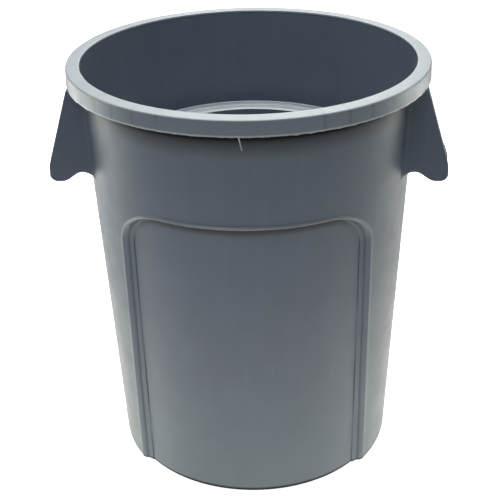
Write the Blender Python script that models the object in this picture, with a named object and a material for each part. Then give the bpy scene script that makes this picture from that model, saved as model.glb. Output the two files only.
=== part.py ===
"""Round, tapered, open-top plastic container with hood handles and a lift-out inner liner.

Metres, +Z up.  The origin is the middle of the standing face, the handles point
along +X and -X, and the recessed panels face -Y (front) and +Y (back).
"""
import math

import bmesh
import bpy

# ---------------------------------------------------------------- driving sizes
HEIGHT = 0.692            # floor to the top of the rim
GAP = 0.0003              # parting gap between neighbouring pieces
SEGMENTS = 72             # sides of every turned piece

WALL = 0.0032             # wall thickness of the container
BODY_R_BASE = 0.2338      # outer radius of the wall at the floor
BODY_R_TOP = 0.2662       # outer radius of the wall at the skirt's lower edge
BASE_EDGE_R = 0.0028      # rounding at the foot of the wall

RIM_HEIGHT = 0.0255       # height of the rim's skirt
RIM_R_IN = 0.2645         # mouth
RIM_R_CROWN = 0.2700      # where the flat top starts to slope outwards
RIM_R_TOP = 0.2862        # outer edge of the top
RIM_R_SKIRT = 0.2870      # outer edge of the skirt's foot
RIM_SLOPE = 0.0009        # fall of the top from crown to outer edge
RIM_PLATE = 0.004         # thickness of the top and of the skirt
RIM_RIBS = 45             # ribs between the skirt and the wall
RIM_RIB_WIDTH = 0.002

PANEL_TOP = HEIGHT - 0.181
PANEL_HALF_WIDTH = 0.1840
PANEL_CORNER_R = 0.063
PANEL_INSET = 0.0125      # width of the ledge between the two steps
LEDGE_DEPTH = 0.0105      # depth of the ledge on the centre line
LEDGE_FLATTER = 0.008     # how much larger than the wall's its radius is
PANEL_DEPTH = 0.0115
PANEL_FLATTER = -0.008    # rounder than the wall, so deeper at its sides
PANEL_BORDER = 0.0045     # strip of plain wall round each recess, part of the panel

FLOOR_LOW = 0.009
FLOOR_THICK = 0.004
FOOT_R_OUT = 0.204
FOOT_R_IN = 0.190

HOOD_HALF_WIDTH = 0.098   # the cheeks' outer faces
HOOD_WALL = 0.0035
HOOD_FILLET = 0.016       # between a cheek and the container's wall
HOOD_CORNER_R = 0.002     # between a cheek and the outer web
WEB_TOP_X = 0.2748        # the web's corners under the skirt
WEB_TOP_BULGE = 0.003     # how much further out the web's middle is there
WEB_FOOT_BULGE = 0.002    # the same at its foot
HOOD_SLOPE = 0.303        # outward travel of the web for each metre down
KNEE_DROP = 0.1475        # rim top to where the web turns plumb
HOOD_DROP = 0.1740        # rim top to the foot of the cheeks' lobes
SCALLOP_DROP = 0.158      # rim top to the top of the finger scallop
SCALLOP_X = 0.260
LOBE_X = 0.292
HOOD_LEVELS = 5           # above the knee

GRIP_HALF_LENGTH = 0.032
GRIP_TOP_DROP = 0.153
GRIP_FOOT_DROP = 0.182
GRIP_STAND_OUT = 0.0055   # how far the grip's face stands out from the web's middle
GRIP_SWELL = 0.007        # height over which it comes to stand out
GRIP_DEPTH = 0.016

LINER_TOP = HEIGHT - 0.154
LINER_R_FLANGE = 0.2225   # outer edge of the carrying flange
LINER_R_MOUTH = 0.184
LINER_R_BASE = 0.165
LINER_WALL = 0.003
LINER_LIP = 0.012         # depth of the flange's downturned lip
LINER_BEAD = 0.019        # width of the flange's inner bead
LINER_GROOVE = 0.006      # depth of the groove between bead and outer ridge

# ---------------------------------------------------------------- derived sizes
BODY_GROWTH = (BODY_R_TOP - BODY_R_BASE) / (HEIGHT - RIM_HEIGHT)
RIM_FOOT = HEIGHT - RIM_HEIGHT
BODY_TOP = HEIGHT - RIM_PLATE - GAP
UPPER_WALL_FOOT = PANEL_TOP + PANEL_BORDER
LINER_FOOT = FLOOR_LOW + FLOOR_THICK + GAP
LINER_FLOOR_TOP = LINER_FOOT + LINER_WALL
LINER_WALL_TOP = LINER_TOP - LINER_WALL - GAP
FAR = 0.4                 # comfortably outside the container
OVERRUN = 0.05            # how far a cutter passes the piece it cuts


def body_radius(z):
    """Outer radius of the container's wall at height z."""
    return BODY_R_BASE + BODY_GROWTH * z


def web_fall(z):
    """How far height z lies below the skirt, but no further than the web's knee."""
    return min(HEIGHT - z, KNEE_DROP) - RIM_HEIGHT


def web_corner(z):
    """Distance of the web's corners from the middle plane at height z."""
    return WEB_TOP_X + HOOD_SLOPE * web_fall(z)


def web_line(z, inset, half_width, steps):
    """Plan line of the web at height z: a shallow bow from corner to corner."""
    share = web_fall(z) / (KNEE_DROP - RIM_HEIGHT)
    bulge = WEB_TOP_BULGE + (WEB_FOOT_BULGE - WEB_TOP_BULGE) * share
    points = []
    for step in range(steps + 1):
        turn = 2.0 * step / steps - 1.0
        points.append((web_corner(z) + bulge * (1.0 - turn ** 2) - inset, half_width * turn))
    return points


# ---------------------------------------------------------------- helpers
def clear_scene():
    for item in list(bpy.data.objects):
        bpy.data.objects.remove(item, do_unlink=True)


def plastic(name, colour, roughness):
    material = bpy.data.materials.new(name)
    material.use_nodes = True
    shader = material.node_tree.nodes["Principled BSDF"]
    shader.inputs["Base Color"].default_value = (*colour, 1.0)
    shader.inputs["Roughness"].default_value = roughness
    shader.inputs["Metallic"].default_value = 0.0
    return material


def add_object(name, mesh_data, material=None):
    """Turn a bmesh into a named object with its faces pointing out."""
    bmesh.ops.recalc_face_normals(mesh_data, faces=mesh_data.faces)
    mesh = bpy.data.meshes.new(name)
    mesh_data.to_mesh(mesh)
    mesh_data.free()
    item = bpy.data.objects.new(name, mesh)
    bpy.context.scene.collection.objects.link(item)
    if material:
        mesh.materials.append(material)
    return item


def shade_round(item):
    item.data.shade_smooth()
    item.data.set_sharp_from_angle(angle=math.radians(30))


def turned(name, outline, material=None, offset_y=0.0):
    """Spin a closed outline of (radius, height) pairs about the Z axis.

    An outline that touches the axis gives a plain solid, any other a ring.
    """
    mesh_data = bmesh.new()
    rings = []
    for radius, height in outline:
        if radius == 0.0:
            rings.append([mesh_data.verts.new((0.0, offset_y, height))] * SEGMENTS)
            continue
        ring = []
        for step in range(SEGMENTS):
            angle = 2 * math.pi * step / SEGMENTS
            point = (radius * math.cos(angle), offset_y + radius * math.sin(angle), height)
            ring.append(mesh_data.verts.new(point))
        rings.append(ring)
    for low, high in zip(rings, rings[1:] + rings[:1]):
        for step in range(SEGMENTS):
            after = (step + 1) % SEGMENTS
            corners = []
            for corner in (low[step], low[after], high[after], high[step]):
                if corner not in corners:
                    corners.append(corner)
            if len(corners) > 2:
                mesh_data.faces.new(corners)
    item = add_object(name, mesh_data, material)
    shade_round(item)
    return item


def prism(name, outline, low, high):
    """Extrude a closed outline of (x, z) pairs along Y, from low to high."""
    mesh_data = bmesh.new()
    start = [mesh_data.verts.new((x, low, z)) for x, z in outline]
    end = [mesh_data.verts.new((x, high, z)) for x, z in outline]
    mesh_data.faces.new(start)
    mesh_data.faces.new(end)
    for index in range(len(outline)):
        after = (index + 1) % len(outline)
        mesh_data.faces.new((start[index], start[after], end[after], end[index]))
    return add_object(name, mesh_data)


def arc(centre, radius, start, end, steps):
    """Points on an arc, angles in degrees, both ends included."""
    points = []
    for step in range(steps + 1):
        angle = math.radians(start + (end - start) * step / steps)
        points.append((centre[0] + radius * math.cos(angle), centre[1] + radius * math.sin(angle)))
    return points


def hide_cutter(item):
    item.hide_render = True
    item.display_type = "WIRE"


def boolean(item, other, operation):
    modifier = item.modifiers.new(f"{operation.lower()} {other.name}", "BOOLEAN")
    modifier.operation = operation
    modifier.solver = "EXACT"
    modifier.object = other
    hide_cutter(other)


# ---------------------------------------------------------------- container
def arch_outline(half_width, top, corner_radius, foot):
    """The recess seen square on: straight sides, straight top, round top corners."""
    centre_x = half_width - corner_radius
    centre_z = top - corner_radius
    outline = [(half_width, foot)]
    outline += arc((centre_x, centre_z), corner_radius, 0, 90, 10)
    outline += arc((-centre_x, centre_z), corner_radius, 90, 180, 10)
    outline.append((-half_width, foot))
    return outline


def recess_cutter(name, side, margin, inset, depth, flatter):
    """One step of a recess: an arch-shaped block less the cone that is its bottom.

    side is -1 for the front and +1 for the back, and margin moves every face
    inwards for the inside of the wall.
    """
    half_width = PANEL_HALF_WIDTH - inset + margin
    arch = arch_outline(half_width, PANEL_TOP - inset + margin, PANEL_CORNER_R - inset + margin, -2 * OVERRUN)
    near, far = sorted((side * 0.02, side * FAR))
    block = prism(name, arch, near, far)
    top = HEIGHT + 2 * OVERRUN
    grow = flatter - margin
    cone_outline = [
        (0.0, -3 * OVERRUN),
        (body_radius(-3 * OVERRUN) + grow, -3 * OVERRUN),
        (body_radius(top) + grow, top),
        (0.0, top),
    ]
    cone = turned(f"{name}_cone", cone_outline, offset_y=-side * (flatter + depth))
    boolean(block, cone, "DIFFERENCE")
    hide_cutter(block)
    return block


def cut_recesses(item, margin, sides):
    """Cut the two steps of the recesses out of an envelope."""
    for side in sides:
        label = f"{item.name}_{'front' if side < 0 else 'back'}"
        ledge = recess_cutter(f"{label}_ledge", side, margin, 0.0, LEDGE_DEPTH, LEDGE_FLATTER)
        panel = recess_cutter(f"{label}_step", side, margin, PANEL_INSET, PANEL_DEPTH, PANEL_FLATTER)
        boolean(item, ledge, "DIFFERENCE")
        boolean(item, panel, "DIFFERENCE")


def inner_envelope(name, margin, low, high, sides, material=None):
    """The space inside the wall, its panels bulging in, between two heights."""
    outline = [
        (0.0, low),
        (body_radius(low) - margin, low),
        (body_radius(high) - margin, high),
        (0.0, high),
    ]
    item = turned(name, outline, material)
    cut_recesses(item, margin, sides)
    return item


def foot_arc():
    """The rounded outer edge at the foot of the wall."""
    return arc((body_radius(0.0) - BASE_EDGE_R, BASE_EDGE_R), BASE_EDGE_R, -90, 0, 4)


def panel_block(name, side, gap):
    """The part of space that a front or back panel takes up, square on to it."""
    grow = PANEL_BORDER - gap
    arch = arch_outline(PANEL_HALF_WIDTH + grow, PANEL_TOP + grow, PANEL_CORNER_R + grow, -OVERRUN)
    near, far = sorted((side * 0.02, side * FAR))
    return prism(name, arch, near, far)


def build_upper_wall(material):
    """Plain ring of wall between the panels' tops and the rim."""
    low = UPPER_WALL_FOOT
    outline = [
        (body_radius(low) - WALL, low),
        (body_radius(low), low),
        (body_radius(BODY_TOP), BODY_TOP),
        (body_radius(BODY_TOP) - WALL, BODY_TOP),
    ]
    return turned("upper_wall", outline, material)


def build_side_wall(side, name, material):
    """Curved stave under a handle, between the front and the back panel."""
    top = UPPER_WALL_FOOT - GAP
    outline = foot_arc() + [
        (body_radius(top), top),
        (body_radius(top) - WALL, top),
        (body_radius(0.0) - WALL, 0.0),
    ]
    wall = turned(name, outline, material)
    for panel_side, word in ((-1, "front"), (1, "back")):
        boolean(wall, panel_block(f"{name}_{word}_opening", panel_side, 0.0), "DIFFERENCE")
    near, far = sorted((0.0, -side * FAR))
    square = [(near, -OVERRUN), (far, -OVERRUN), (far, HEIGHT), (near, HEIGHT)]
    boolean(wall, prism(f"{name}_other_half", square, -FAR, FAR), "DIFFERENCE")
    return wall


def build_panel(side, name, material):
    """Recessed panel with its stepped border, from the foot to the upper wall."""
    top = UPPER_WALL_FOOT + OVERRUN
    outline = [(0.0, 0.0)] + foot_arc() + [(body_radius(top), top), (0.0, top)]
    panel = turned(name, outline, material)
    boolean(panel, panel_block(f"{name}_block", side, GAP), "INTERSECT")
    cut_recesses(panel, 0.0, (side,))
    hollow = inner_envelope(f"{name}_hollow", WALL, -OVERRUN, HEIGHT, (side,))
    boolean(panel, hollow, "DIFFERENCE")
    return panel


def build_floor_panel(material):
    top = FLOOR_LOW + FLOOR_THICK
    return inner_envelope("floor_panel", WALL + GAP, FLOOR_LOW, top, (-1, 1), material)


def build_foot_ring(material):
    top = FLOOR_LOW - GAP
    outline = [(FOOT_R_IN, 0.0), (FOOT_R_OUT, 0.0), (FOOT_R_OUT, top), (FOOT_R_IN, top)]
    return turned("foot_ring", outline, material)


def build_rim_band(material):
    """An upside-down channel: flat crown, sloped top, flared skirt, ribs inside it."""
    edge = HEIGHT - RIM_SLOPE
    under = HEIGHT - RIM_PLATE
    skirt_in = RIM_R_TOP - RIM_PLATE + 0.0008
    outline = [
        (RIM_R_IN, under),
        (RIM_R_IN, HEIGHT - 0.0010),
        (RIM_R_IN + 0.0010, HEIGHT),
        (RIM_R_CROWN, HEIGHT),
        (RIM_R_TOP - 0.0010, edge),
        (RIM_R_TOP, edge - 0.0012),
        (RIM_R_SKIRT, RIM_FOOT),
        (RIM_R_SKIRT - RIM_PLATE, RIM_FOOT),
        (skirt_in, under - RIM_SLOPE),
        (RIM_R_CROWN + 0.002, under),
    ]
    band = turned("rim_band", outline, material)
    ribs = bmesh.new()
    rib_foot = RIM_FOOT + 0.003
    rib_in = body_radius(BODY_TOP) + 2 * GAP
    rib_out = RIM_R_TOP - 0.5 * RIM_PLATE
    for index in range(RIM_RIBS):
        angle = 2 * math.pi * index / RIM_RIBS - math.pi / 2
        along = (math.cos(angle), math.sin(angle))
        across = (-along[1] * RIM_RIB_WIDTH / 2, along[0] * RIM_RIB_WIDTH / 2)
        corners = []
        for z in (rib_foot, under - 0.0016):
            for radius, turn in ((rib_in, -1), (rib_out, -1), (rib_out, 1), (rib_in, 1)):
                x = radius * along[0] + turn * across[0]
                y = radius * along[1] + turn * across[1]
                corners.append(ribs.verts.new((x, y, z)))
        ribs.faces.new(corners[:4])
        ribs.faces.new(corners[4:])
        for side in range(4):
            after = (side + 1) % 4
            ribs.faces.new((corners[side], corners[after], corners[4 + after], corners[4 + side]))
    boolean(band, add_object("rim_ribs", ribs), "UNION")
    return band


# ---------------------------------------------------------------- handles
def hood_section(z):
    """Plan outline of the hood at height z, for the handle on +X."""
    wall_r = body_radius(z) + GAP
    fillet_y = HOOD_HALF_WIDTH + HOOD_FILLET
    fillet_x = math.sqrt((wall_r + HOOD_FILLET) ** 2 - fillet_y ** 2)
    foot_angle = math.degrees(math.atan2(fillet_y, -fillet_x))
    corner_y = HOOD_HALF_WIDTH - HOOD_CORNER_R
    corner_x = web_corner(z) - HOOD_CORNER_R
    inner_y = HOOD_HALF_WIDTH - HOOD_WALL
    inner_angle = math.degrees(math.asin(inner_y / wall_r))
    body_angle = math.degrees(math.atan2(fillet_y, fillet_x))

    lower = arc((fillet_x, -fillet_y), HOOD_FILLET, foot_angle, 90, 5)
    lower += arc((corner_x, -corner_y), HOOD_CORNER_R, -90, 0, 3)
    outer = lower + web_line(z, 0.0, corner_y, 12)[1:-1]
    outer += [(x, -y) for x, y in reversed(lower)]
    inner = arc((0, 0), wall_r, body_angle, inner_angle, 2)[1:]
    inner += web_line(z, HOOD_WALL, inner_y, 12)[::-1]
    inner += arc((0, 0), wall_r, -inner_angle, -body_angle, 2)[:-1]
    return outer + inner


def scallop_outline():
    """What is cut from below the hood: a finger scallop beside a lobe, as (x, z)."""
    lobe_z = HEIGHT - HOOD_DROP
    top_z = HEIGHT - SCALLOP_DROP
    rise = top_z - lobe_z
    outline = [(BODY_R_BASE, lobe_z - OVERRUN), (BODY_R_BASE, top_z - rise)]
    steps = 8
    for step in range(1, steps):
        x = SCALLOP_X - 0.018 + 0.018 * step / steps
        outline.append((x, top_z - 0.008 * ((SCALLOP_X - x) / 0.018) ** 2))
    for step in range(steps + 1):
        share = step / steps
        x = SCALLOP_X + (LOBE_X - SCALLOP_X) * share
        outline.append((x, top_z - rise * (1 - math.cos(math.pi * share)) / 2))
    outline += [(FAR, lobe_z), (FAR, lobe_z - OVERRUN)]
    return outline


def mirrored(points, side):
    return [(side * x, z) for x, z in points]


def build_hood(side, name, material):
    """U-shaped hood lofted between plan outlines, scalloped below, notched for its grip."""
    top = RIM_FOOT - GAP
    foot = HEIGHT - HOOD_DROP
    knee = HEIGHT - KNEE_DROP
    levels = [top + (knee - top) * level / (HOOD_LEVELS - 1) for level in range(HOOD_LEVELS)]
    mesh_data = bmesh.new()
    rings = []
    for z in levels + [foot - 0.002]:
        rings.append([mesh_data.verts.new((side * x, y, z)) for x, y in hood_section(z)])
    mesh_data.faces.new(rings[0])
    mesh_data.faces.new(rings[-1])
    count = len(rings[0])
    for upper, lower in zip(rings, rings[1:]):
        for index in range(count):
            after = (index + 1) % count
            mesh_data.faces.new((upper[index], upper[after], lower[after], lower[index]))
    hood = add_object(name, mesh_data, material)
    shade_round(hood)
    scallop = prism(f"{name}_scallop", mirrored(scallop_outline(), side), -FAR, FAR)
    boolean(hood, scallop, "DIFFERENCE")
    notch_y = GRIP_HALF_LENGTH + GAP
    notch_top = HEIGHT - GRIP_TOP_DROP + GAP
    notch_box = [(0.29, foot - OVERRUN), (FAR, foot - OVERRUN), (FAR, notch_top), (0.29, notch_top)]
    notch = prism(f"{name}_notch", mirrored(notch_box, side), -notch_y, notch_y)
    boolean(hood, notch, "DIFFERENCE")
    return hood


def grip_section():
    """Outline of the grip as (x, z): its face follows the web, its foot is round."""
    half = GRIP_DEPTH / 2
    low = HEIGHT - GRIP_FOOT_DROP + half
    top = HEIGHT - GRIP_TOP_DROP
    steps = 10
    face = []
    for step in range(steps + 1):
        z = low + (top - low) * step / steps
        stand_out = GRIP_STAND_OUT * min((top - z) / GRIP_SWELL, 1.0)
        face.append((web_corner(z) + WEB_FOOT_BULGE + stand_out, z))
    x_out = face[0][0]
    foot = arc((x_out - half, low), half, 180, 360, 8)[:-1]
    return foot + face + [(x_out - GRIP_DEPTH + 0.0015, top - 0.001), (x_out - GRIP_DEPTH, top - 0.004)]


def build_grip(side, name, material):
    """Straight, thick bar at the foot of the web, for curled fingers."""
    grip = prism(name, mirrored(grip_section(), side), -GRIP_HALF_LENGTH, GRIP_HALF_LENGTH)
    grip.data.materials.append(material)
    shade_round(grip)
    return grip


# ---------------------------------------------------------------- liner
def build_liner_floor(material):
    radius = LINER_R_BASE - 0.001
    outline = [
        (0.0, LINER_FOOT),
        (radius, LINER_FOOT),
        (radius, LINER_FLOOR_TOP),
        (0.0, LINER_FLOOR_TOP),
    ]
    return turned("liner_floor", outline, material)


def build_liner_wall(material):
    foot = LINER_FLOOR_TOP + GAP
    outline = [
        (LINER_R_BASE - LINER_WALL, foot),
        (LINER_R_BASE, foot),
        (LINER_R_MOUTH + LINER_WALL, LINER_WALL_TOP),
        (LINER_R_MOUTH, LINER_WALL_TOP),
    ]
    return turned("liner_wall", outline, material)


def build_liner_rim(material):
    """Carrying flange: broad inner bead, groove, outer ridge and a downturned lip."""
    low = LINER_TOP - LINER_WALL
    groove = LINER_TOP - LINER_GROOVE
    ridge_in = LINER_R_FLANGE - 2 * LINER_WALL
    bead_out = LINER_R_MOUTH + LINER_BEAD
    outline = [(LINER_R_MOUTH, low)]
    outline += arc((LINER_R_MOUTH + LINER_BEAD / 2, low), LINER_WALL, 135, 90, 1)
    outline += [
        (bead_out, LINER_TOP - GAP),
        (bead_out + LINER_WALL, groove),
        (ridge_in - LINER_WALL, groove),
        (ridge_in, LINER_TOP - GAP),
        (LINER_R_FLANGE, LINER_TOP - LINER_WALL / 2),
        (LINER_R_FLANGE, LINER_TOP - LINER_LIP),
        (LINER_R_FLANGE - LINER_WALL, LINER_TOP - LINER_LIP),
        (ridge_in - LINER_WALL / 2, groove - LINER_WALL),
        (bead_out, groove - LINER_WALL),
        (bead_out - LINER_WALL, low),
    ]
    return turned("liner_rim", outline, material)


# ---------------------------------------------------------------- assembly
def build():
    clear_scene()
    wall_colour = (0.115, 0.140, 0.168)
    build_upper_wall(plastic("upper_wall_plastic", wall_colour, 0.42))
    for side, word in ((-1, "front"), (1, "back")):
        build_panel(side, f"{word}_panel", plastic(f"{word}_panel_plastic", wall_colour, 0.42))
    for side, word in ((-1, "left"), (1, "right")):
        build_side_wall(side, f"{word}_wall", plastic(f"{word}_wall_plastic", wall_colour, 0.42))
    build_floor_panel(plastic("floor_panel_plastic", (0.105, 0.128, 0.155), 0.48))
    build_foot_ring(plastic("foot_ring_plastic", (0.100, 0.122, 0.148), 0.50))
    build_rim_band(plastic("rim_band_plastic", (0.125, 0.152, 0.182), 0.40))
    for side, word in ((-1, "left"), (1, "right")):
        hood = plastic(f"handle_{word}_plastic", (0.112, 0.137, 0.166), 0.42)
        grip = plastic(f"handle_{word}_grip_plastic", (0.110, 0.134, 0.162), 0.45)
        build_hood(side, f"handle_{word}", hood)
        build_grip(side, f"handle_{word}_grip", grip)
    build_liner_floor(plastic("liner_floor_plastic", (0.100, 0.126, 0.155), 0.45))
    build_liner_wall(plastic("liner_wall_plastic", (0.105, 0.130, 0.160), 0.42))
    build_liner_rim(plastic("liner_rim_plastic", (0.150, 0.185, 0.215), 0.36))


build()
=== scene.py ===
"""Looks of the round, open-top plastic container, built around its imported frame."""
import functools
import math

import bmesh
import bpy
import numpy as np
from mathutils import Matrix, Vector, noise


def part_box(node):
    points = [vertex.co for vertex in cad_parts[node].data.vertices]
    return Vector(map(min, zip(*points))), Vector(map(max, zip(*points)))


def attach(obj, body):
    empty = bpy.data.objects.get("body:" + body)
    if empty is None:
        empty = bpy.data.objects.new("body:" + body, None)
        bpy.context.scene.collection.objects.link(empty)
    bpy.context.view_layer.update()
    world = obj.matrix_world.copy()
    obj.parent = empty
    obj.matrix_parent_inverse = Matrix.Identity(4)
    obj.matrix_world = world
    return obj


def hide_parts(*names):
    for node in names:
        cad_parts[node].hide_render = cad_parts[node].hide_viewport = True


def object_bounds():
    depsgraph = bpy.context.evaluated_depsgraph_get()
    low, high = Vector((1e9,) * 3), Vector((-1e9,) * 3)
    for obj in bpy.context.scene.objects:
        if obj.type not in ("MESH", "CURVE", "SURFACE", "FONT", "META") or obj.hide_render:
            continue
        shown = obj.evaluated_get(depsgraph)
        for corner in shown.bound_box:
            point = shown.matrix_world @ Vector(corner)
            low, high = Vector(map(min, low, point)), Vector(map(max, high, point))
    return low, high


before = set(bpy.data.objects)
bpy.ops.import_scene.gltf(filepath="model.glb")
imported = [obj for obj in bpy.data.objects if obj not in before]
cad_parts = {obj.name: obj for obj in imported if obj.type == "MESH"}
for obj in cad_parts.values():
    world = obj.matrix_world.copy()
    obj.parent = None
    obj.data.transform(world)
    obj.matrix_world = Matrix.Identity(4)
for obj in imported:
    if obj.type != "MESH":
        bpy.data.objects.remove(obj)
cad_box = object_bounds()

# ---------------------------------------------------------------- sizes read from the frame
HEIGHT = cad_box[1].z
SIDE_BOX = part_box("left_wall")
UPPER_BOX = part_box("upper_wall")
RIM_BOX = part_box("rim_band")
HOOD_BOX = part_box("handle_right")
GRIP_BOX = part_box("handle_right_grip")
FLOOR_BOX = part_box("floor_panel")
FOOT_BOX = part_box("foot_ring")
FLANGE_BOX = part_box("liner_rim")
LINER_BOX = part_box("liner_wall")
LINER_FLOOR_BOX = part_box("liner_floor")

BODY_GROWTH = (UPPER_BOX[1].x + SIDE_BOX[0].x) / (UPPER_BOX[1].z - SIDE_BOX[1].z)
BODY_R_BASE = UPPER_BOX[1].x - BODY_GROWTH * UPPER_BOX[1].z
RIM_FOOT = RIM_BOX[0].z
RIM_R_SKIRT = RIM_BOX[1].x
HOOD_FOOT = HOOD_BOX[0].z
HOOD_TOP = HOOD_BOX[1].z
LINER_TOP = FLANGE_BOX[1].z

# ---------------------------------------------------------------- sizes of the fine shapes
WALL = 0.0032
FOOT_EDGE_R = 0.015       # rounding at the foot of the wall

ARCH_HALF = 0.1920        # recess: outer edge of the bevel, half its width
ARCH_TOP = HEIGHT - 0.1768
ARCH_CORNER_R = 0.066
BEVEL_SIDE = 0.0105       # width of the bevel at the sides and along the top
BEVEL_TOP = 0.006
BEVEL_DEPTH_SIDE = 0.0086
BEVEL_DEPTH_TOP = 0.0125
BEVEL_POWER_SIDE = 2.1    # how late the bevel turns steep
BEVEL_POWER_TOP = 1.25
LEDGE_SLOPE = 0.52        # how fast the ledge sinks from the bevel to the panel
LIP_HEIGHT = 0.0028       # raised bead along the recess's edge
LIP_WIDTH = 0.0021
LIP_PLACE = 0.0016        # how far inside the recess's edge its top side's bead lies
STEP_DEPTH = 0.0022       # small step between the ledge and the panel
STEP_WIDTH = 0.0014
PANEL_DEPTH = 0.0115
PANEL_ROUNDER = 0.008     # how much smaller than the wall's the panel's radius is

RIM_R_IN = 0.2645         # the mouth
RIM_R_CROWN = 0.2700      # outer edge of the flat crown
RIM_R_TOP = 0.2862        # outer edge of the sloped top
RIM_SLOPE = 0.0009        # fall of the top from the crown to its outer edge
RIM_PLATE = 0.0036
RIM_RIBS = 45
RIM_RIB_WIDTH = 0.002
SINK_DEPTH = 0.00022      # dimple in the skirt outside each rib
SINK_WIDTH = 0.0022
FLASH_HEIGHT = 0.0009     # ragged parting flash along the skirt's foot

HOOD_HALF_WIDTH = 0.098
HOOD_WALL = 0.0035
HOOD_FILLET = 0.012
HOOD_CORNER_R = 0.0010
WEB_TOP_X = 0.2748        # the web's corners under the skirt
WEB_TOP_BULGE = 0.003     # how much further out the web's middle is there
WEB_FOOT_BULGE = 0.002
HOOD_SLOPE = 0.303        # how far the web goes out for each metre that it goes down
KNEE_DROP = 0.1475        # below this the web is plumb
KNEE_SOFTNESS = 0.003
HOOD_LOBE_R = 0.011       # rounding of the lobe's outer corner
SCALLOP_TOP = HEIGHT - 0.158
SCALLOP_X = 0.260         # where the finger scallop is highest
LOBE_X = 0.292            # from here out the hood's edge is at its lowest
EDGE_ROUND = 0.0012       # rounding of the hood's lower edge

GRIP_HALF_DEPTH = 0.008   # half the grip's thickness, the radius of its foot
GRIP_END = 0.010          # length over which the grip's ends round off
GRIP_SWELL = 0.007        # height over which the grip comes to stand out

FOOT_WIDTH = 0.014        # width of the standing ring
BOSS_R = 0.030            # round pad in the middle of the underside
GATE_R = 0.004            # stub left by the moulding gate
BASE_RIBS = 24
BASE_RIB_WIDTH = 0.0028
BASE_RIB_DROP = 0.0045    # how far the ribs hang below the floor

BEAD_OUT = 0.204          # liner flange: outer foot of the inner bead
BEAD_RISE = 0.0040
GROOVE_DEPTH = 0.006

FLASH_START = (-0.0010, -RIM_R_SKIRT + 0.0007, RIM_FOOT + 0.0005)
FLASH_LENGTH = 0.0195     # how far the sliver of flash hangs down
FLASH_DRIFT = 0.0042      # and how far it leans towards +X
FLASH_HALF_WIDTH = 0.0010

BODY = "container"
LINER = "liner"

# ---------------------------------------------------------------- colours and light
WALL_COLOUR = (0.101, 0.131, 0.176)
# the handles' plastic is painted darker than the wall's, as painted shade on their faces
HANDLE_COLOUR = (0.064, 0.090, 0.134)
# the rim is paler than the wall's plastic: partly its own paler tone and scuffs, partly painted light
# standing in for light on the skirt
RIM_COLOUR = (0.168, 0.208, 0.250)
LINER_COLOUR = (0.096, 0.126, 0.170)
FLANGE_COLOUR = (0.175, 0.215, 0.245)
# painted highlight on the bead along the recess's top edge
PAINTED_BEAD_HIGHLIGHT = (0.34, 0.38, 0.40)
# paler colour blended over the top of the crown
PALE_CROWN = (0.40, 0.44, 0.46)
WORN_SKIRT_FOOT = (0.40, 0.42, 0.43)
SOFT_SHADE = 0.10              # painted shade, soft and deep, as shares of the plastic's own colour
DEEP_SHADE = 0.05

FLOOR_NEAR = 1.27         # glow of the floor round the foot of the container
FLOOR_SEEN = 1.05         # glow the camera sees
FLOOR_TINT = (1.0, 0.98, 0.80)
WHITE = (1.0, 1.0, 1.0)
LIGHTS = (                # name, place, size, watts, tint
    ("overhead", (0.0, 0.3, 2.5), (2.0, 1.6), 84.0, (1.0, 0.95, 0.89)),
    ("front_top", (-0.6, -1.9, 2.9), (1.6, 1.2), 24.0, (0.93, 0.98, 1.08)),
    ("behind", (0.0, 2.6, 1.9), (1.3, 1.1), 13.0, (1.0, 1.0, 0.92)),
    ("left_low", (-1.5, 0.55, 0.30), (1.3, 0.56), 10.2, (0.98, 1.0, 0.93)),
    ("right_low", (1.6, 0.75, 0.30), (1.2, 0.56), 9.5, (0.98, 1.0, 0.92)),
)

CAMERA_AZIMUTH = 3.0      # degrees from the front towards +X
CAMERA_PITCH = 27.32      # degrees below the horizon
CAMERA_ROLL = -1.24
CAMERA_TURN = 0.04        # degrees to the left of the container's axis
CAMERA_DISTANCE = 1.7011  # level distance from the axis
CAMERA_ASIDE = -0.0026
CAMERA_ABOVE_RIM = 0.5335
CAMERA_LENS = 80.31       # mm, on a 36 mm sensor


def body_radius(z):
    return BODY_R_BASE + BODY_GROWTH * z


def web_fall(z):
    """How far height z lies below the skirt, easing to a stop at the web's knee."""
    past = (HEIGHT - z - KNEE_DROP) / KNEE_SOFTNESS
    return RIM_FOOT - z - KNEE_SOFTNESS * math.log1p(math.exp(min(past, 40.0)))


def web_corner(z):
    return WEB_TOP_X + HOOD_SLOPE * web_fall(z)


def web_bulge(z):
    share = web_fall(z) / (RIM_FOOT - HEIGHT + KNEE_DROP)
    return mix(WEB_TOP_BULGE, WEB_FOOT_BULGE, share)


# ---------------------------------------------------------------- mesh helpers
def smoothstep(value):
    t = np.clip(value, 0.0, 1.0)
    return t * t * (3.0 - 2.0 * t)


def mix(low, high, share):
    return low + (high - low) * share


def arc(centre, radius, start, end, steps):
    """Points on an arc as (x, y), angles in degrees, both ends included."""
    angles = np.radians(np.linspace(start, end, steps + 1))
    return [(centre[0] + radius * math.cos(a), centre[1] + radius * math.sin(a)) for a in angles]


def add_piece(name, points, faces, material, body, sharp=35.0):
    """A smooth-shaded mesh piece that rides on a body."""
    mesh = bpy.data.meshes.new(name)
    mesh.from_pydata([tuple(p) for p in points], [], faces)
    builder = bmesh.new()
    builder.from_mesh(mesh)
    bmesh.ops.recalc_face_normals(builder, faces=builder.faces)
    builder.to_mesh(mesh)
    builder.free()
    mesh.materials.append(material)
    mesh.shade_smooth()
    mesh.set_sharp_from_angle(angle=math.radians(sharp))
    item = bpy.data.objects.new(name, mesh)
    bpy.context.scene.collection.objects.link(item)
    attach(item, body)
    return item


def ring_faces(rings, count, closed_section, first=0):
    """Quads between closed rings of count points each, one after another."""
    faces = []
    last = rings if closed_section else rings - 1
    for ring in range(last):
        low = first + ring * count
        high = first + (ring + 1) % rings * count
        for index in range(count):
            after = (index + 1) % count
            faces.append((low + index, low + after, high + after, high + index))
    return faces


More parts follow.
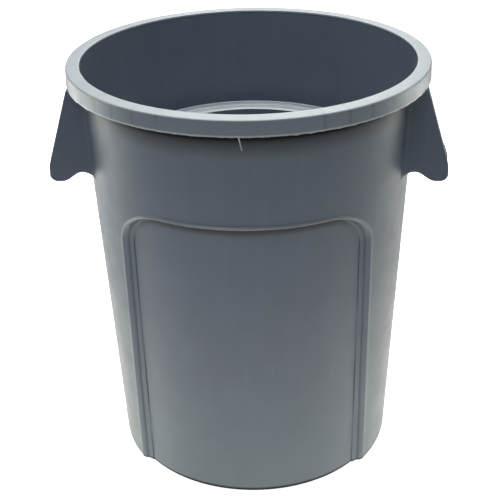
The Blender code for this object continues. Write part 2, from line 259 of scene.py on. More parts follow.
def lathe(profile, segments, change=None):
    """Points and quads of a closed profile of (radius, z) spun about Z.

    change(angles, radius, z, index) may return new radii and heights for a ring.
    """
    angles = np.linspace(0.0, 2.0 * math.pi, segments, endpoint=False)
    points = []
    for index, (radius, z) in enumerate(profile):
        radii = np.full(segments, radius)
        heights = np.full(segments, z)
        if change:
            radii, heights = change(angles, radii, heights, index)
        points.append(np.stack([radii * np.cos(angles), radii * np.sin(angles), heights], axis=1))
    return np.concatenate(points), ring_faces(len(profile), segments, True)


def ripple(angles, scale, seed):
    """Smooth seeded noise round a circle, about -1 to 1."""
    values = [noise.noise(Vector((math.cos(a) * scale, math.sin(a) * scale, seed))) for a in angles]
    return np.array(values)


def box_faces(start):
    """The six faces of a block whose eight corners are two rings of four."""
    ends = [(start + 3, start + 2, start + 1, start), (start + 4, start + 5, start + 6, start + 7)]
    sides = []
    for side in range(4):
        after = (side + 1) % 4
        sides.append((start + side, start + after, start + 4 + after, start + 4 + side))
    return ends + sides


def add_ribs(points, faces, angles, width, radii, foot, top, taper):
    """Radial ribs between two radii, one at each angle; taper is the width left at the foot."""
    inner, outer = radii
    for angle in angles:
        along = np.array((math.cos(angle), math.sin(angle), 0.0))
        across = np.array((-along[1], along[0], 0.0)) * width / 2.0
        start = len(points)
        for z, share in ((foot, taper), (top, 1.0)):
            for radius, turn in ((inner, -1), (outer, -1), (outer, 1), (inner, 1)):
                points.append(radius * along + turn * share * across + np.array((0.0, 0.0, z)))
        faces.extend(box_faces(start))


# ---------------------------------------------------------------- container wall
def recess_depth(x, z):
    """How far the recessed panel lies behind the round wall, for arrays of x at height z."""
    across = np.maximum(np.abs(x) - (ARCH_HALF - ARCH_CORNER_R), 0.0)
    above = max(z - (ARCH_TOP - ARCH_CORNER_R), 0.0)
    reach = np.hypot(across, above)
    inside = ARCH_CORNER_R - reach
    facing_up = above ** 2 / np.maximum(reach ** 2, 1e-9)
    width = mix(BEVEL_SIDE, BEVEL_TOP, facing_up)
    foot = mix(BEVEL_DEPTH_SIDE, BEVEL_DEPTH_TOP, facing_up)
    power = mix(BEVEL_POWER_SIDE, BEVEL_POWER_TOP, facing_up)
    past_bead = inside - (LIP_PLACE + 0.0008) * facing_up
    bevel = foot * np.clip(past_bead / width, 0.0, 1.0) ** power
    ledge = bevel + LEDGE_SLOPE * np.maximum(past_bead - width, 0.0)
    radius = body_radius(z)
    round_wall = np.sqrt(radius ** 2 - x ** 2)
    panel_arc = np.sqrt((radius - PANEL_ROUNDER) ** 2 - x ** 2)
    panel = round_wall - PANEL_ROUNDER + PANEL_DEPTH - panel_arc
    step = STEP_DEPTH * (1.0 - 0.7 * facing_up)
    cap = panel - step
    past = (ledge - cap) / LEDGE_SLOPE
    bead = mix(0.0004, LIP_PLACE, facing_up)
    lip = LIP_HEIGHT * mix(0.55, 1.0, facing_up) * np.exp(-((inside - bead) / LIP_WIDTH) ** 2)
    return np.minimum(ledge, cap) + step * smoothstep(past / STEP_WIDTH) - lip


def wall_columns():
    """x of the columns across one recess: fine over its stepped border, coarse between."""
    middle = np.linspace(0.0, 0.116, 15)
    corner = np.arange(0.118, 0.168, 0.0016)
    border = np.arange(0.1685, 0.1985, 0.0009)
    half = np.concatenate([middle, corner, border])
    return np.concatenate([-half[:0:-1], half])


COLUMNS = wall_columns()
SIDE_STEPS = 40           # columns under each handle


def wall_ring(z, inset):
    """One closed ring of the wall's surface, inset behind its outer face."""
    radius = body_radius(z) - inset
    depth = recess_depth(COLUMNS, z)
    front_y = -(np.sqrt(radius ** 2 - COLUMNS ** 2) - depth)
    turn = math.acos(COLUMNS[-1] / radius)
    side_angles = np.linspace(-turn, turn, SIDE_STEPS + 1)[1:-1]
    side_x = radius * np.cos(side_angles)
    side_y = radius * np.sin(side_angles)
    xs = np.concatenate([COLUMNS, side_x, COLUMNS[::-1], -side_x])
    ys = np.concatenate([front_y, side_y, -front_y[::-1], -side_y])
    return np.stack([xs, ys, np.full(len(xs), z)], axis=1)


def wall_heights(step, fine):
    """Heights up the wall: fine where the recess's round corners and top edge lie."""
    low = np.arange(FOOT_EDGE_R + 0.003, ARCH_TOP - 0.080, step)
    corner = np.arange(ARCH_TOP - 0.078, ARCH_TOP - 0.016, fine * 1.8)
    edge = np.arange(ARCH_TOP - 0.015, ARCH_TOP + 0.005, fine)
    high = np.arange(ARCH_TOP + 0.010, UPPER_BOX[1].z, step)
    return np.concatenate([low, corner, edge, high, [UPPER_BOX[1].z]])


def build_wall(material):
    rings = []
    for angle in np.radians(np.linspace(90.0, 0.0, 7)):
        inset = FOOT_EDGE_R * (1.0 - math.cos(angle))
        rings.append(wall_ring(FOOT_EDGE_R * (1.0 - math.sin(angle)), inset))
    for z in wall_heights(0.011, 0.0006):
        rings.append(wall_ring(z, 0.0))
    for z in wall_heights(0.022, 0.0024)[::-1]:
        rings.append(wall_ring(z, WALL))
    curl = FOOT_EDGE_R - WALL
    for angle in np.radians(np.linspace(0.0, 90.0, 6)):
        inset = WALL + curl * (1.0 - math.cos(angle))
        rings.append(wall_ring(FOOT_EDGE_R - curl * math.sin(angle), inset))
    points = np.concatenate(rings)
    faces = ring_faces(len(rings), len(rings[0]), True)
    wall = add_piece("wall", points, faces, material, BODY, sharp=50.0)
    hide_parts("upper_wall", "left_wall", "right_wall", "front_panel", "back_panel")


# ---------------------------------------------------------------- rim
def rim_profile():
    """Closed (radius, z) outline of the rim, from the mouth over the crown to the skirt and back."""
    edge = HEIGHT - RIM_SLOPE
    fall = math.degrees(math.atan2(RIM_SLOPE, RIM_R_TOP - RIM_R_CROWN))
    flare = math.degrees(math.atan2(RIM_R_SKIRT - RIM_R_TOP, edge - RIM_FOOT))
    outer_r = 0.0026
    profile = [(RIM_R_IN, HEIGHT - RIM_PLATE)]
    profile += arc((RIM_R_IN + 0.0012, HEIGHT - 0.0012), 0.0012, 180, 90, 6)
    profile += [(RIM_R_CROWN - 0.0012, HEIGHT), (RIM_R_CROWN, HEIGHT - 0.0001)]
    profile += [(mix(RIM_R_CROWN, RIM_R_TOP, s), HEIGHT - RIM_SLOPE * s) for s in (0.15, 0.4, 0.65)]
    profile += arc((RIM_R_TOP - outer_r, edge - outer_r + 0.0002), outer_r, 90 - fall, flare, 8)
    for share in (0.15, 0.3, 0.45, 0.6, 0.75, 0.88, 0.95):
        profile.append((mix(RIM_R_TOP, RIM_R_SKIRT, share), mix(edge, RIM_FOOT, share)))
    skirt_end = len(profile)
    profile += [(RIM_R_SKIRT, RIM_FOOT + 0.0004), (RIM_R_SKIRT - 0.0002, RIM_FOOT)]
    skirt_in = RIM_R_SKIRT - RIM_PLATE
    profile += [(RIM_R_SKIRT - 0.0008, RIM_FOOT + 0.0001), (skirt_in, RIM_FOOT + 0.0006)]
    profile += [(skirt_in - 0.0002, RIM_FOOT + 0.004)]
    profile += [(RIM_R_TOP - RIM_PLATE + 0.0006, edge - RIM_PLATE), (RIM_R_CROWN, HEIGHT - RIM_PLATE)]
    return profile, skirt_end


def build_rim(material):
    profile, skirt_end = rim_profile()
    flash_rings = (skirt_end, skirt_end + 1, skirt_end + 2)
    rib_angles = 2.0 * math.pi * np.arange(RIM_RIBS) / RIM_RIBS - math.pi / 2.0

    def change(angles, radii, heights, index):
        low_wave = ripple(angles, 3.0, 1.7)
        radii = radii + 0.0003 * low_wave
        heights = heights + 0.00025 * ripple(angles, 2.2, 8.1) * (heights > RIM_FOOT + 0.02)
        if index in flash_rings:
            ragged = ripple(angles, 26.0, 4.4) + 0.6 * ripple(angles, 90.0, 2.5)
            lip = np.clip(0.25 + ragged, 0.0, 1.0)
            heights = heights - (FLASH_HEIGHT * lip if index == flash_rings[1] else 0.0)
            radii = radii + 0.0003 * lip
        middle = 0.5 * (HEIGHT - RIM_SLOPE + RIM_FOOT)
        on_skirt = smoothstep(1.25 - np.abs(heights - middle) / 0.011)
        if skirt_end - 8 < index < skirt_end:
            away = (angles[:, None] - rib_angles[None, :] + math.pi) % (2.0 * math.pi) - math.pi
            nearest = np.min(np.abs(away), axis=1) * RIM_R_SKIRT
            radii = radii - SINK_DEPTH * on_skirt * np.exp(-(nearest / SINK_WIDTH) ** 2)
        return radii, heights

    points, faces = lathe(profile, 900, change)
    points = list(points)
    radii = (body_radius(UPPER_BOX[1].z) + 0.0006, RIM_R_TOP - 0.4 * RIM_PLATE)
    top = HEIGHT - RIM_PLATE + 0.001
    add_ribs(points, faces, rib_angles, RIM_RIB_WIDTH, radii, RIM_FOOT + 0.003, top, 0.8)
    rim = add_piece("rim", points, faces, material, BODY)
    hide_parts("rim_band")


def build_flash_sliver(material):
    """A thin curl of flash that hangs from the skirt's foot at the front."""
    start = Vector(FLASH_START)
    sections = 14
    sides = 6
    points = []
    for section in range(sections + 1):
        share = section / sections
        centre = start + Vector((
            FLASH_DRIFT * share ** 1.3,
            0.0030 * math.sin(share * math.pi) - 0.001 * share,
            -FLASH_LENGTH * share,
        ))
        width = FLASH_HALF_WIDTH * (1.0 - 0.25 * share)
        for side in range(sides):
            angle = 2.0 * math.pi * side / sides
            flat = Vector((width * math.cos(angle), 0.45 * width * math.sin(angle), 0.0))
            points.append(centre + flat)
    faces = ring_faces(sections + 1, sides, False)
    faces.append(tuple(range(sides)))
    faces.append(tuple(range(sections * sides, (sections + 1) * sides))[::-1])
    sliver = add_piece("flash_sliver", points, faces, material, BODY)


# ---------------------------------------------------------------- handles
@functools.lru_cache(maxsize=None)
def hood_outline(z, thick):
    """Plan outline of a hood's outer (thick 0) or inner face at height z, for the side +X."""
    half = HOOD_HALF_WIDTH - thick
    corner_y = half - HOOD_CORNER_R
    corner_x = web_corner(z) - thick - HOOD_CORNER_R
    wall_r = body_radius(z)
    fillet_y = HOOD_HALF_WIDTH + HOOD_FILLET
    fillet_x = math.sqrt((wall_r + HOOD_FILLET) ** 2 - fillet_y ** 2)
    if thick == 0.0:
        foot_turn = math.degrees(math.atan2(fillet_y, -fillet_x))
        lower = arc((fillet_x, -fillet_y), HOOD_FILLET, foot_turn, 90, 12)
        start_x = fillet_x
    else:
        inner_r = wall_r - 0.5 * WALL
        foot_turn = math.degrees(math.atan2(-fillet_y, fillet_x))
        meet_turn = -math.degrees(math.asin(half / inner_r))
        lower = arc((0.0, 0.0), inner_r, foot_turn, meet_turn, 12)
        start_x = lower[-1][0]
    cheek = np.linspace(start_x, corner_x, 20)[1:-1]
    lower += [(x, -half) for x in cheek]
    lower += arc((corner_x, -corner_y), HOOD_CORNER_R, -90, 0, 6)
    turns = np.linspace(-1.0, 1.0, 37)[1:-1]
    web = [(web_corner(z) - thick + web_bulge(z) * (1.0 - t * t), corner_y * t) for t in turns]
    upper = [(x, -y) for x, y in reversed(lower)]
    return np.array(lower + web + upper)


def hood_foot(x, edge_x):
    """Height of the hood's lower edge above the floor at distance x from the axis."""
    rise = SCALLOP_TOP - HOOD_FOOT
    if x < SCALLOP_X:
        return SCALLOP_TOP - 0.008 * ((SCALLOP_X - x) / 0.018) ** 2
    share = min((x - SCALLOP_X) / (LOBE_X - SCALLOP_X), 1.0)
    foot = SCALLOP_TOP - rise * (1.0 - math.cos(math.pi * share)) / 2.0
    past = max(x - (edge_x - HOOD_LOBE_R), 0.0)
    past = min(past, HOOD_LOBE_R)
    return foot + HOOD_LOBE_R - math.sqrt(HOOD_LOBE_R ** 2 - past ** 2)


def hood_skin(thick, levels, trim):
    """Rings of the hood's outer or inner face from its top down to its shaped lower edge."""
    count = len(hood_outline(HOOD_TOP, thick))
    feet = np.full(count, HOOD_FOOT)
    for _ in range(12):
        for index in range(count):
            x, y = hood_outline(round(float(feet[index]), 5), thick)[index]
            from_middle = min(abs(y) / (HOOD_HALF_WIDTH - thick), 1.0)
            bulge = web_bulge(feet[index]) * (1.0 - from_middle ** 2)
            feet[index] = hood_foot(x, web_corner(feet[index]) - thick + bulge)
    feet = feet + trim
    rings = []
    for level in range(levels + 1):
        share = level / levels
        ring = []
        for index in range(count):
            z = mix(HOOD_TOP, feet[index], share)
            x, y = hood_outline(round(float(z), 5), thick)[index]
            ring.append((x, y, z))
        rings.append(np.array(ring))
    return rings


def build_hood(side, name, node, material):
    levels = 30
    outer = hood_skin(0.0, levels, EDGE_ROUND)
    inner = hood_skin(HOOD_WALL, levels, EDGE_ROUND)
    edge = []
    for share in (0.2, 0.4, 0.6, 0.8):
        middle = mix(outer[-1], inner[-1], share)
        middle[:, 2] -= EDGE_ROUND * math.sin(math.pi * share) ** 0.6
        edge.append(middle)
    rows = outer + edge + inner[::-1]
    count = len(rows[0])
    points = np.concatenate(rows)
    points[:, 0] *= side
    faces = []
    total = len(rows)
    for row in range(total):
        low = row * count
        high = (row + 1) % total * count
        for index in range(count - 1):
            faces.append((low + index, low + index + 1, high + index + 1, high + index))
    first = [row * count for row in range(total)]
    last = [row * count + count - 1 for row in range(total)]
    faces.append(tuple(first))
    faces.append(tuple(reversed(last)))
    hood = add_piece(name, points, faces, material, BODY)
    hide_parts(node)


def grip_section():
    """Closed outline of the grip as (x, z): its face follows the web, its ends are round."""
    low, high = GRIP_BOX
    half = GRIP_HALF_DEPTH
    web_x = web_corner(low.z) + WEB_FOOT_BULGE
    stand_out = high.x - web_x
    face = []
    for z in np.linspace(low.z + half, high.z, 22):
        out = stand_out * min((high.z - z) / GRIP_SWELL, 1.0)
        face.append((web_corner(z) + WEB_FOOT_BULGE + out, z))
    foot = arc((high.x - half, low.z + half), half, 180, 360, 18)[:-1]
    inner_x = high.x - 2.0 * half
    back = [(inner_x + 0.0024, high.z - 0.0012), (inner_x + 0.0007, high.z - 0.003)]
    back += [(inner_x, high.z - 0.006)]
    return np.array(foot + face + back)


def build_grip(side, name, node, material):
    """Straight, thick bar at the foot of the web; its ends round off."""
    section = grip_section()
    middle = section.mean(axis=0)
    length = GRIP_BOX[1].y
    steps = 40
    points = []
    for step in range(steps + 1):
        turn = -math.cos(math.pi * step / steps)
        from_end = (1.0 - abs(turn)) * length
        swell = math.sqrt(max(1.0 - max(1.0 - from_end / GRIP_END, 0.0) ** 2, 0.0))
        swell = max(swell, 0.02)
        for x, z in middle + (section - middle) * (mix(0.25, 1.0, swell), mix(0.8, 1.0, swell)):
            points.append((side * x, length * turn, z))
    around = len(section)
    faces = ring_faces(steps + 1, around, False)
    faces.append(tuple(range(around)))
    faces.append(tuple(range(steps * around, (steps + 1) * around))[::-1])
    grip = add_piece(name, points, faces, material, BODY, sharp=60.0)
    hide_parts(node)


# ---------------------------------------------------------------- base
def build_base(material):
    """Floor with its standing ring, ribs, centre boss and gate mark, moulded as one."""
    top = FLOOR_BOX[1].z
    under = FLOOR_BOX[0].z
    outline = wall_ring(0.5 * (top + under), WALL + 0.0002)[:, :2]
    spread = np.hypot(outline[:, 0], outline[:, 1])
    foot_out = FOOT_BOX[1].x
    foot_in = foot_out - FOOT_WIDTH
    steps = [(None, top), (None, under), (foot_out + 0.002, under), (foot_out, under - 0.002)]
    steps += [(foot_out, 0.0008), (foot_out - 0.0008, 0.0), (foot_in + 0.0008, 0.0), (foot_in, 0.0008)]
    steps += [(foot_in, under - 0.002), (foot_in - 0.002, under)]
    steps += [(BOSS_R + 0.002, under), (BOSS_R, under - 0.0015), (BOSS_R - 0.002, under - 0.002)]
    steps += [(GATE_R + 0.004, under - 0.002), (GATE_R + 0.0025, under - 0.0012)]
    steps += [(GATE_R, under - 0.001), (GATE_R - 0.0008, under - 0.0034), (0.0006, under - 0.0038)]
    steps += [(0.0006, top + 0.0004), (0.02, top + 0.0004), (0.024, top)]
    rings = []
    for radius, z in steps:
        scale = np.ones(len(outline)) if radius is None else np.minimum(radius / spread, 1.0)
        rings.append(np.column_stack([outline * scale[:, None], np.full(len(outline), z)]))
    points = list(np.concatenate(rings))
    faces = ring_faces(len(rings), len(outline), True)
    angles = 2.0 * math.pi * np.arange(BASE_RIBS) / BASE_RIBS
    radii = (BOSS_R - 0.006, foot_in + 0.002)
    low = under - BASE_RIB_DROP
    add_ribs(points, faces, angles, BASE_RIB_WIDTH, radii, low, under + 0.001, 0.7)
    base = add_piece("base", points, faces, material, BODY)
    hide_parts("floor_panel", "foot_ring")


# ---------------------------------------------------------------- liner
def build_liner(rim_material, wall_material):
    """Inner liner: flange with bead, groove and ridge, tapered wall, floor."""
    flange_r = FLANGE_BOX[1].x
    lip_low = FLANGE_BOX[0].z
    mouth = LINER_BOX[1].x - 0.003
    top = LINER_TOP
    groove = top - GROOVE_DEPTH
    wall_top = LINER_BOX[1].z
    bead_r = (BEAD_OUT - mouth) / 2.0
    bead_middle = mouth + bead_r
    profile = [(mouth, wall_top + 0.0004)]
    for turn in np.radians(np.linspace(165.0, 8.0, 16)):
        z = top - BEAD_RISE + BEAD_RISE * math.sin(turn)
        profile.append((bead_middle + bead_r * math.cos(turn), z))
    profile += [(BEAD_OUT + 0.0012, groove + 0.0008), (BEAD_OUT + 0.0026, groove)]
    profile += [(flange_r - 0.0085, groove), (flange_r - 0.0068, groove + 0.0008)]
    profile += [(flange_r - 0.0052, top - 0.0012)]
    profile += arc((flange_r - 0.0036, top - 0.0016), 0.0016, 150, 40, 6)
    profile += arc((flange_r - 0.0016, top - 0.0040), 0.0016, 50, 0, 4)
    profile += [(flange_r, lip_low + 0.0008), (flange_r - 0.0008, lip_low), (flange_r - 0.0022, lip_low)]
    profile += [(flange_r - 0.0029, lip_low + 0.0008), (flange_r - 0.0042, top - 0.0062)]
    profile += [(flange_r - 0.0075, groove - 0.0026), (BEAD_OUT, groove - 0.0026)]
    profile += [(BEAD_OUT - 0.003, top - BEAD_RISE - 0.0004), (mouth + 0.0036, wall_top + 0.0004)]

    def change(angles, radii, heights, index):
        return radii + 0.0004 * ripple(angles, 1.6, 5.3), heights + 0.0004 * ripple(angles, 1.3, 9.2)

    points, faces = lathe(profile, 300, change)
    flange = add_piece("liner_flange", points, faces, rim_material, LINER, sharp=60.0)
    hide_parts("liner_rim")

    base_r = LINER_FLOOR_BOX[1].x
    low = LINER_FLOOR_BOX[0].z
    floor_top = LINER_FLOOR_BOX[1].z
    body = [(mouth + 0.003, wall_top), (base_r + 0.001, floor_top + 0.006)]
    body += arc((base_r - 0.004, low + 0.005), 0.005, 0, -90, 6)
    body += [(0.150, low), (0.148, low + 0.001), (0.003, low + 0.001), (0.001, low + 0.0012)]
    body += [(0.001, floor_top), (0.140, floor_top)]
    body += arc((base_r - 0.008, floor_top + 0.005), 0.005, -90, -4, 5)
    body += [(mouth, wall_top)]
    points, faces = lathe(body, 240)
    tub = add_piece("liner_tub", points, faces, wall_material, LINER, sharp=50.0)
    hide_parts("liner_wall", "liner_floor")


# ---------------------------------------------------------------- materials
def add_node(tree, kind, **values):
    node = tree.nodes.new(kind)
    for key, value in values.items():
        if key in node.inputs:
            node.inputs[key].default_value = value
        else:
            setattr(node, key, value)
    return node


def noise_node(tree, source, scale, detail, stretch=(1.0, 1.0, 1.0)):
    """Noise over a stretched copy of the object's own coordinates, in features per metre."""
    mapping = add_node(tree, "ShaderNodeMapping")
    mapping.inputs["Scale"].default_value = stretch
    tree.links.new(source, mapping.inputs["Vector"])
    texture = add_node(tree, "ShaderNodeTexNoise", Scale=scale, Detail=detail, Roughness=0.55)
    tree.links.new(mapping.outputs["Vector"], texture.inputs["Vector"])
    return texture.outputs["Fac"]


def remap(tree, source, low, high, to_low, to_high):
    node = add_node(tree, "ShaderNodeMapRange", interpolation_type="SMOOTHSTEP")
    values = (low, high, to_low, to_high)
    for key, value in zip(("From Min", "From Max", "To Min", "To Max"), values):
        node.inputs[key].default_value = value
    tree.links.new(source, node.inputs["Value"])
    return node.outputs["Result"]


def blend_colour(tree, factor, first, second):
    """Mix two colours, each a socket or a tuple, by a factor socket."""
    node = add_node(tree, "ShaderNodeMix", data_type="RGBA")
    tree.links.new(factor, node.inputs["Factor"])
    for socket, value in ((node.inputs[6], first), (node.inputs[7], second)):
        if isinstance(value, tuple):
            socket.default_value = (*value, 1.0)
        else:
            tree.links.new(value, socket)
    return node.outputs[2]


def shade(colour, amount):
    return tuple(channel * amount for channel in colour)


def height_band(tree, place, low, high, to_low, to_high):
    """A value that changes from to_low at height low to to_high at height high."""
    parts = add_node(tree, "ShaderNodeSeparateXYZ")
    tree.links.new(place, parts.inputs[0])
    return remap(tree, parts.outputs["Z"], low, high, to_low, to_high)


def math_node(tree, operation, *values):
    """A maths node whose inputs are sockets or numbers."""
    node = add_node(tree, "ShaderNodeMath", operation=operation)
    for socket, value in zip(node.inputs, values):
        if isinstance(value, (int, float)):
            socket.default_value = value
        else:
            tree.links.new(value, socket)
    return node.outputs[0]


def outer_face(tree, place):
    """1 on faces that look away from the container's axis, 0 on those that look at it."""
    level = add_node(tree, "ShaderNodeVectorMath", operation="MULTIPLY")
    tree.links.new(place, level.inputs[0])
    level.inputs[1].default_value = (1.0, 1.0, 0.0)
    along = add_node(tree, "ShaderNodeVectorMath", operation="NORMALIZE")
    tree.links.new(level.outputs[0], along.inputs[0])
    facing = add_node(tree, "ShaderNodeVectorMath", operation="DOT_PRODUCT")
    tree.links.new(along.outputs[0], facing.inputs[0])
    tree.links.new(add_node(tree, "ShaderNodeNewGeometry").outputs["Normal"], facing.inputs[1])
    return remap(tree, facing.outputs["Value"], -0.3, -0.1, 0.0, 1.0)


def wall_painted_light(tree, place, base, colour):
    """Painted shade under the rim's skirt, under the recess's top edge, in its side creases and over the
    foot; a painted highlight on the bead along the recess's top.
    """
    parts = add_node(tree, "ShaderNodeSeparateXYZ")
    tree.links.new(place, parts.inputs[0])
    outer = outer_face(tree, place)
    across = math_node(tree, "ABSOLUTE", parts.outputs["X"])
    across = math_node(tree, "SUBTRACT", across, ARCH_HALF - ARCH_CORNER_R)
    across = math_node(tree, "MAXIMUM", across, 0.0)
    above = math_node(tree, "SUBTRACT", parts.outputs["Z"], ARCH_TOP - ARCH_CORNER_R)
    above = math_node(tree, "MAXIMUM", above, 0.0)
    square = math_node(tree, "MULTIPLY", above, above)
    reach = math_node(tree, "SQRT", math_node(tree, "MULTIPLY_ADD", across, across, square))
    inside = math_node(tree, "SUBTRACT", ARCH_CORNER_R, reach)
    facing_up = math_node(tree, "DIVIDE", square, math_node(tree, "MULTIPLY", reach, reach))
    facing_side = math_node(tree, "SUBTRACT", 1.0, facing_up)

    def both(first, second):
        return math_node(tree, "MULTIPLY", first, second)

    def darken(amount, start, towards):
        return blend_colour(tree, both(amount, outer), start, shade(colour, towards))

    def line(middle, width, strength):
        away = math_node(tree, "ABSOLUTE", math_node(tree, "SUBTRACT", inside, middle))
        return remap(tree, away, 0.25 * width, width, strength, 0.0)

    def band(low, high, to_low, to_high):
        return height_band(tree, place, low, high, to_low, to_high)

    # painted highlight: the bead along the recess's top edge is painted paler, fading out towards the
    # sides
    bead = both(line(0.0006, 0.0036, 0.80), both(facing_up, outer))
    base = blend_colour(tree, bead, base, PAINTED_BEAD_HIGHLIGHT)
    # painted shade on the panel just under the overhang of the recess's top edge
    below = both(remap(tree, inside, 0.023, 0.010, 0.0, 0.92), facing_up)
    starts = remap(tree, inside, 0.0030, 0.0044, 0.0, 1.0)
    base = darken(both(below, starts), base, SOFT_SHADE)
    # painted shade along the crease at the foot of each side bevel
    base = darken(both(line(BEVEL_SIDE, 0.0022, 0.5), facing_side), base, SOFT_SHADE)
    # soft painted shadow of the rim's skirt on the wall below it
    base = darken(band(RIM_FOOT - 0.046, RIM_FOOT - 0.012, 0.0, 0.80), base, SOFT_SHADE)
    # narrow, nearly black painted shadow line right under the skirt
    base = darken(band(RIM_FOOT - 0.0146, RIM_FOOT - 0.0122, 0.0, 0.85), base, DEEP_SHADE)
    # painted contact shade over the curl of the wall's foot
    foot_low, foot_high = 0.0105, 0.0160
    base = darken(band(foot_low, foot_high, 0.80, 0.0), base, DEEP_SHADE)
    # the specular level drops over the foot's curl and just under the skirt, deepening the painted shade
    # there
    dull_foot = band(foot_low, foot_high, 1.0, 0.0)
    dull_top = band(RIM_FOOT - 0.022, RIM_FOOT - 0.011, 0.0, 0.8)
    dull = math_node(tree, "MAXIMUM", dull_foot, dull_top)
    gloss = math_node(tree, "MULTIPLY_ADD", both(dull, outer), -0.5, 0.5)
    return base, gloss


def rim_wear_and_shade(tree, place, base, colour):
    """Paler colour over the top of the crown, a pale worn foot line, and painted shade in the sink marks
    outside some of the ribs.
    """
    parts = add_node(tree, "ShaderNodeSeparateXYZ")
    tree.links.new(place, parts.inputs[0])
    # painted shade: the skirt is darkened in the sink marks outside some of the ribs
    angle = math_node(tree, "ARCTAN2", parts.outputs["Y"], parts.outputs["X"])
    turns = math_node(tree, "MULTIPLY_ADD", angle, RIM_RIBS / (2.0 * math.pi), RIM_RIBS * 1.25)
    rib = remap(tree, math_node(tree, "PINGPONG", turns, 0.5), 0.03, 0.12, 1.0, 0.0)
    some = remap(tree, noise_node(tree, place, 14.0, 1.0), 0.44, 0.62, 0.0, 0.34)
    sink = math_node(tree, "MULTIPLY", rib, some)
    base = blend_colour(tree, sink, base, shade(colour, 0.45))
    crown = height_band(tree, place, HEIGHT - 0.0036, HEIGHT - 0.0018, 0.0, 0.42)
    base = blend_colour(tree, crown, base, PALE_CROWN)
    foot = height_band(tree, place, RIM_FOOT + 0.0016, RIM_FOOT + 0.0034, 0.9, 0.0)
    return blend_colour(tree, foot, base, WORN_SKIRT_FOOT)


def moulded_plastic(name, colour, roughness, scuffs=0.25, worn_edges=0.0, wear_and_painted_light=None):
    """Satin polyethylene: mottled colour, flow streaks, fine scuffs and an orange-peel skin.

    The last argument is "wall" for the wall's painted shade and painted highlight, "rim" for the rim's
    paler crown, worn foot line and painted shade. The rim's streaks run round it, those of every other
    piece run down it.
    """
    material = bpy.data.materials.new(name)
    material.use_nodes = True
    tree = material.node_tree
    shader = tree.nodes["Principled BSDF"]
    place = add_node(tree, "ShaderNodeTexCoord").outputs["Object"]

    mottle = remap(tree, noise_node(tree, place, 9.0, 3.0), 0.3, 0.7, 0.0, 1.0)
    base = blend_colour(tree, mottle, shade(colour, 0.965), shade(colour, 1.035))
    if wear_and_painted_light == "rim":
        flow_stretch, scratch_stretch, scratch_scale = (0.03, 0.03, 1.0), (0.02, 0.02, 1.0), 380.0
    else:
        flow_stretch, scratch_stretch, scratch_scale = (1.0, 1.0, 0.06), (1.0, 1.0, 0.10), 420.0
    flow = remap(tree, noise_node(tree, place, 55.0, 2.0, flow_stretch), 0.45, 0.75, 0.0, 0.5)
    base = blend_colour(tree, flow, base, shade(colour, 1.09))
    lines = noise_node(tree, place, scratch_scale, 1.0, scratch_stretch)
    patches = remap(tree, noise_node(tree, place, 18.0, 2.0), 0.52, 0.72, 0.0, scuffs)
    scuff = math_node(tree, "MULTIPLY", remap(tree, lines, 0.66, 0.74, 0.0, 1.0), patches)
    base = blend_colour(tree, scuff, base, shade(colour, 2.3))
    if wear_and_painted_light == "wall":
        base, gloss = wall_painted_light(tree, place, base, colour)
        tree.links.new(gloss, shader.inputs["Specular IOR Level"])
    if wear_and_painted_light == "rim":
        base = rim_wear_and_shade(tree, place, base, colour)
    if worn_edges:
        pointed = add_node(tree, "ShaderNodeNewGeometry").outputs["Pointiness"]
        edge = remap(tree, pointed, 0.52, 0.60, 0.0, worn_edges)
        base = blend_colour(tree, edge, base, shade(colour, 2.2))
    tree.links.new(base, shader.inputs["Base Color"])

    sheen = noise_node(tree, place, 30.0, 4.0)
    rough = remap(tree, sheen, 0.3, 0.7, roughness - 0.035, roughness + 0.045)
    tree.links.new(rough, shader.inputs["Roughness"])
    shader.inputs["IOR"].default_value = 1.5

    peel = add_node(tree, "ShaderNodeBump", Strength=0.5, Distance=0.00004)
    tree.links.new(noise_node(tree, place, 650.0, 2.0), peel.inputs["Height"])
    wave = add_node(tree, "ShaderNodeBump", Strength=0.35, Distance=0.0006)
    tree.links.new(noise_node(tree, place, 16.0, 1.0), wave.inputs["Height"])
    tree.links.new(peel.outputs["Normal"], wave.inputs["Normal"])
    tree.links.new(wave.outputs["Normal"], shader.inputs["Normal"])
    return material


# ---------------------------------------------------------------- studio
def white_floor():
    """Paper that looks plain white and throws most light up close to the container."""
    mesh = bpy.data.meshes.new("floor")
    half, level = 12.0, -0.0005
    corners = [(x * half, y * half, level) for x, y in ((-1, -1), (1, -1), (1, 1), (-1, 1))]
    mesh.from_pydata(corners, [], [(0, 1, 2, 3)])
    floor = bpy.data.objects.new("floor", mesh)
    bpy.context.scene.collection.objects.link(floor)
    material = bpy.data.materials.new("white_paper")
    material.use_nodes = True
    tree = material.node_tree
    shader = tree.nodes["Principled BSDF"]
    shader.inputs["Base Color"].default_value = (0.9, 0.9, 0.9, 1.0)
    shader.inputs["Roughness"].default_value = 0.9
    shader.inputs["Specular IOR Level"].default_value = 0.2
    away = add_node(tree, "ShaderNodeVectorMath", operation="LENGTH")
    tree.links.new(add_node(tree, "ShaderNodeTexCoord").outputs["Object"], away.inputs[0])
    glow = remap(tree, away.outputs["Value"], 0.25, 0.95, FLOOR_NEAR, 0.0)
    seen = add_node(tree, "ShaderNodeLightPath").outputs["Is Camera Ray"]
    shown = add_node(tree, "ShaderNodeMix", data_type="FLOAT")
    tree.links.new(seen, shown.inputs[0])
    tree.links.new(glow, shown.inputs[2])
    shown.inputs[3].default_value = FLOOR_SEEN
    tree.links.new(shown.outputs[0], shader.inputs["Emission Strength"])
    tint = blend_colour(tree, seen, FLOOR_TINT, WHITE)
    tree.links.new(tint, shader.inputs["Emission Color"])
    mesh.materials.append(material)


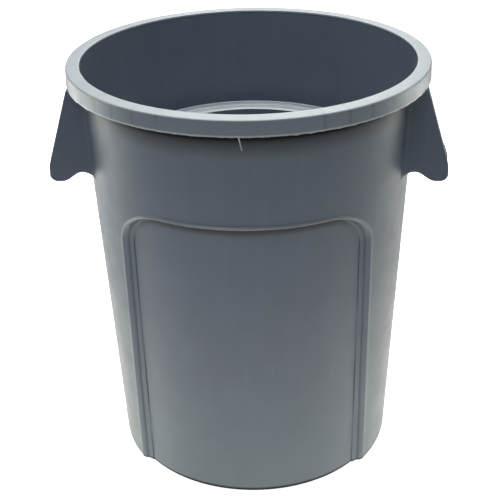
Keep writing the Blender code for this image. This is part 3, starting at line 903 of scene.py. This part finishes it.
def soft_light(name, place, size, watts, tint):
    """A rectangular lamp that points at the container's axis, at its own height or lower."""
    data = bpy.data.lights.new(name, "AREA")
    data.shape = "RECTANGLE"
    data.size, data.size_y = size
    data.energy = watts
    data.color = tint
    light = bpy.data.objects.new(name, data)
    light.location = place
    target = Vector((0.0, 0.0, min(place[2], 0.45)))
    light.rotation_euler = (target - Vector(place)).to_track_quat("-Z", "Y").to_euler()
    bpy.context.scene.collection.objects.link(light)


def studio_world():
    """Surroundings that give no light; the camera sees plain white."""
    world = bpy.data.worlds.new("studio")
    bpy.context.scene.world = world
    world.use_nodes = True
    tree = world.node_tree
    background = tree.nodes["Background"]
    background.inputs["Color"].default_value = (*WHITE, 1.0)
    seen = add_node(tree, "ShaderNodeLightPath").outputs["Is Camera Ray"]
    shown = add_node(tree, "ShaderNodeMix", data_type="FLOAT")
    tree.links.new(seen, shown.inputs[0])
    shown.inputs[2].default_value = 0.0
    shown.inputs[3].default_value = FLOOR_SEEN
    tree.links.new(shown.outputs[0], background.inputs["Strength"])


def build_camera():
    data = bpy.data.cameras.new("camera")
    data.lens = CAMERA_LENS
    data.sensor_width = 36.0
    camera = bpy.data.objects.new("camera", data)
    yaw = Matrix.Rotation(math.radians(CAMERA_AZIMUTH), 4, "Z")
    aim = Matrix.Rotation(math.radians(CAMERA_TURN), 4, "Z")
    pitch = Matrix.Rotation(math.radians(90.0 - CAMERA_PITCH), 4, "X")
    roll = Matrix.Rotation(math.radians(CAMERA_ROLL), 4, "Z")
    place = yaw @ Vector((CAMERA_ASIDE, -CAMERA_DISTANCE, HEIGHT + CAMERA_ABOVE_RIM))
    camera.matrix_world = Matrix.Translation(place) @ aim @ yaw @ pitch @ roll
    bpy.context.scene.collection.objects.link(camera)
    bpy.context.scene.camera = camera


def build_studio():
    scene = bpy.context.scene
    scene.view_settings.view_transform = "Standard"
    scene.view_settings.look = "None"
    white_floor()
    studio_world()
    for light in LIGHTS:
        soft_light(*light)
    build_camera()


# ---------------------------------------------------------------- assembly
def build():
    container = moulded_plastic("container_plastic_fine", WALL_COLOUR, 0.42, wear_and_painted_light="wall")
    handles = moulded_plastic("handle_plastic_fine", HANDLE_COLOUR, 0.46)
    rim = moulded_plastic("rim_plastic_fine", RIM_COLOUR, 0.40, scuffs=0.8, worn_edges=0.35, wear_and_painted_light="rim")
    liner = moulded_plastic("liner_plastic_fine", LINER_COLOUR, 0.42)
    flange = moulded_plastic("liner_rim_plastic_fine", FLANGE_COLOUR, 0.34, worn_edges=0.2)
    build_wall(container)
    build_base(container)
    build_rim(rim)
    build_flash_sliver(rim)
    for side, word in ((-1, "left"), (1, "right")):
        build_hood(side, f"hood_{word}", f"handle_{word}", handles)
        build_grip(side, f"grip_{word}", f"handle_{word}_grip", handles)
    build_liner(flange, liner)
    build_studio()


build()
